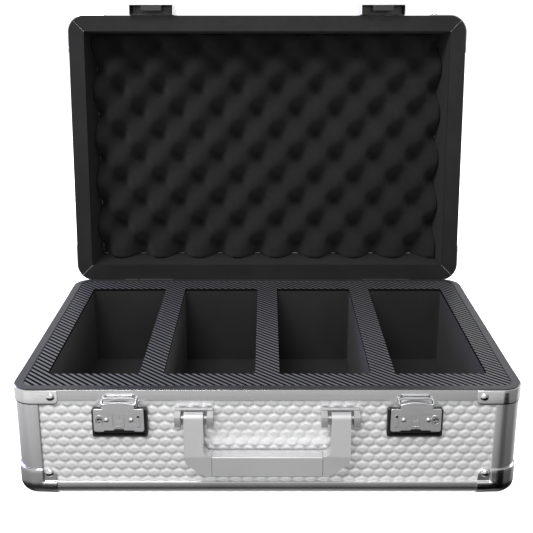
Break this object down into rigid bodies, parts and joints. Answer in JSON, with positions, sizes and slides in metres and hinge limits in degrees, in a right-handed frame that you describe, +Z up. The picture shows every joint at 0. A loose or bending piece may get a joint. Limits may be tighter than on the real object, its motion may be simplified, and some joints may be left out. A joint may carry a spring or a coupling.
{
  "type": "attache case",
  "caption": "Aluminium attache case, lid open at its stop, with a slotted foam insert, an egg-crate lined lid, key-lock lever latches and a folding carry handle.",
  "frame": {"origin": "centre of the base's flat underside", "axes": "+X to the right along the case's length, +Y from the latches to the hinges, +Z up; the lid stands open at its stop"},
  "size_m": [0.4858, 0.4675, 0.4475],
  "materials": {
    "panel_aluminium": "satin",
    "profile_aluminium": "satin",
    "guard_steel": "gloss",
    "hardware_steel": "satin",
    "handle_silver": "satin",
    "rim_strip": "satin",
    "tray_plastic": "satin",
    "deck_weave": "satin",
    "foam": "matte"
  },
  "bodies": {
    "root": {"base_ball_corner_front_left": "guard_steel", "base_ball_corner_front_right": "guard_steel", "base_ball_corner_rear_left": "guard_steel", "base_ball_corner_rear_right": "guard_steel", "base_corner_post_front_left": "profile_aluminium", "base_corner_post_front_right": "profile_aluminium", "base_corner_post_rear_left": "profile_aluminium", "base_corner_post_rear_right": "profile_aluminium", "base_end_panel": "panel_aluminium", "base_end_profile": "profile_aluminium", "base_front_panel": "panel_aluminium", "base_left_panel": "panel_aluminium", "base_rear_panel": "panel_aluminium", "base_right_panel": "panel_aluminium", "base_rim_profile": "profile_aluminium", "base_rim_trim": "rim_strip", "deck_plate": "deck_weave", "foam_tray": "foam", "handle_bracket_left": "handle_silver", "handle_bracket_right": "handle_silver", "hinge_base_leaf_left": "hardware_steel", "hinge_base_leaf_right": "hardware_steel", "hinge_pin_left": "hardware_steel", "hinge_pin_right": "hardware_steel", "latch_bracket_left": "hardware_steel", "latch_bracket_right": "hardware_steel", "latch_tray_left": "tray_plastic", "latch_tray_right": "tray_plastic"},
    "lid": {"hinge_lid_leaf_left": "hardware_steel", "hinge_lid_leaf_right": "hardware_steel", "lid_ball_corner_front_left": "guard_steel", "lid_ball_corner_front_right": "guard_steel", "lid_ball_corner_rear_left": "guard_steel", "lid_ball_corner_rear_right": "guard_steel", "lid_catch_left": "hardware_steel", "lid_catch_right": "hardware_steel", "lid_corner_post_front_left": "profile_aluminium", "lid_corner_post_front_right": "profile_aluminium", "lid_corner_post_rear_left": "profile_aluminium", "lid_corner_post_rear_right": "profile_aluminium", "lid_end_panel": "panel_aluminium", "lid_end_profile": "profile_aluminium", "lid_foam": "foam", "lid_front_panel": "panel_aluminium", "lid_left_panel": "panel_aluminium", "lid_lining": "foam", "lid_rear_panel": "panel_aluminium", "lid_right_panel": "panel_aluminium", "lid_rim_band": "rim_strip", "lid_rim_profile": "profile_aluminium"},
    "handle": {"handle_arm_left": "handle_silver", "handle_arm_right": "handle_silver", "handle_grip": "handle_silver"},
    "latch_lever_left": {"latch_lever_left": "hardware_steel"},
    "latch_claw_left": {"latch_claw_left": "hardware_steel"},
    "latch_key_plug_left": {"latch_key_plug_left": "hardware_steel"},
    "latch_lever_right": {"latch_lever_right": "hardware_steel"},
    "latch_claw_right": {"latch_claw_right": "hardware_steel"},
    "latch_key_plug_right": {"latch_key_plug_right": "hardware_steel"}
  },
  "joints": [
    {"name": "lid_hinge", "type": "hinge", "parent": "root", "child": "lid", "pos_m": [0, 0.1632, 0.1088], "axis": [1, 0, 0], "range_deg": [0, 96]},
    {"name": "handle_swing", "type": "hinge", "parent": "root", "child": "handle", "pos_m": [0, -0.1685, 0.0848], "axis": [-1, 0, 0], "range_deg": [0, 100]},
    {"name": "latch_lever_left_flip", "type": "hinge", "parent": "root", "child": "latch_lever_left", "pos_m": [-0.1385, -0.1684, 0.098], "axis": [-1, 0, 0], "range_deg": [0, 90]},
    {"name": "latch_claw_left_slide", "type": "slide", "parent": "root", "child": "latch_claw_left", "axis": [0, 0, 1], "range_m": [0, 0.009]},
    {"name": "latch_key_plug_left_turn", "type": "hinge", "parent": "latch_lever_left", "child": "latch_key_plug_left", "pos_m": [-0.1565, -0.1695, 0.083], "axis": [0, 1, 0], "range_deg": [0, 90]},
    {"name": "latch_lever_right_flip", "type": "hinge", "parent": "root", "child": "latch_lever_right", "pos_m": [0.1385, -0.1684, 0.098], "axis": [-1, 0, 0], "range_deg": [0, 90]},
    {"name": "latch_claw_right_slide", "type": "slide", "parent": "root", "child": "latch_claw_right", "axis": [0, 0, 1], "range_m": [0, 0.009]},
    {"name": "latch_key_plug_right_turn", "type": "hinge", "parent": "latch_lever_right", "child": "latch_key_plug_right", "pos_m": [0.1565, -0.1695, 0.083], "axis": [0, 1, 0], "range_deg": [0, 90]}
  ],
  "couplings": [
    {"joint": "latch_claw_left_slide", "follows": "latch_lever_left_flip", "m_per_rad": 0.0057},
    {"joint": "latch_claw_right_slide", "follows": "latch_lever_right_flip", "m_per_rad": 0.0057}
  ]
}
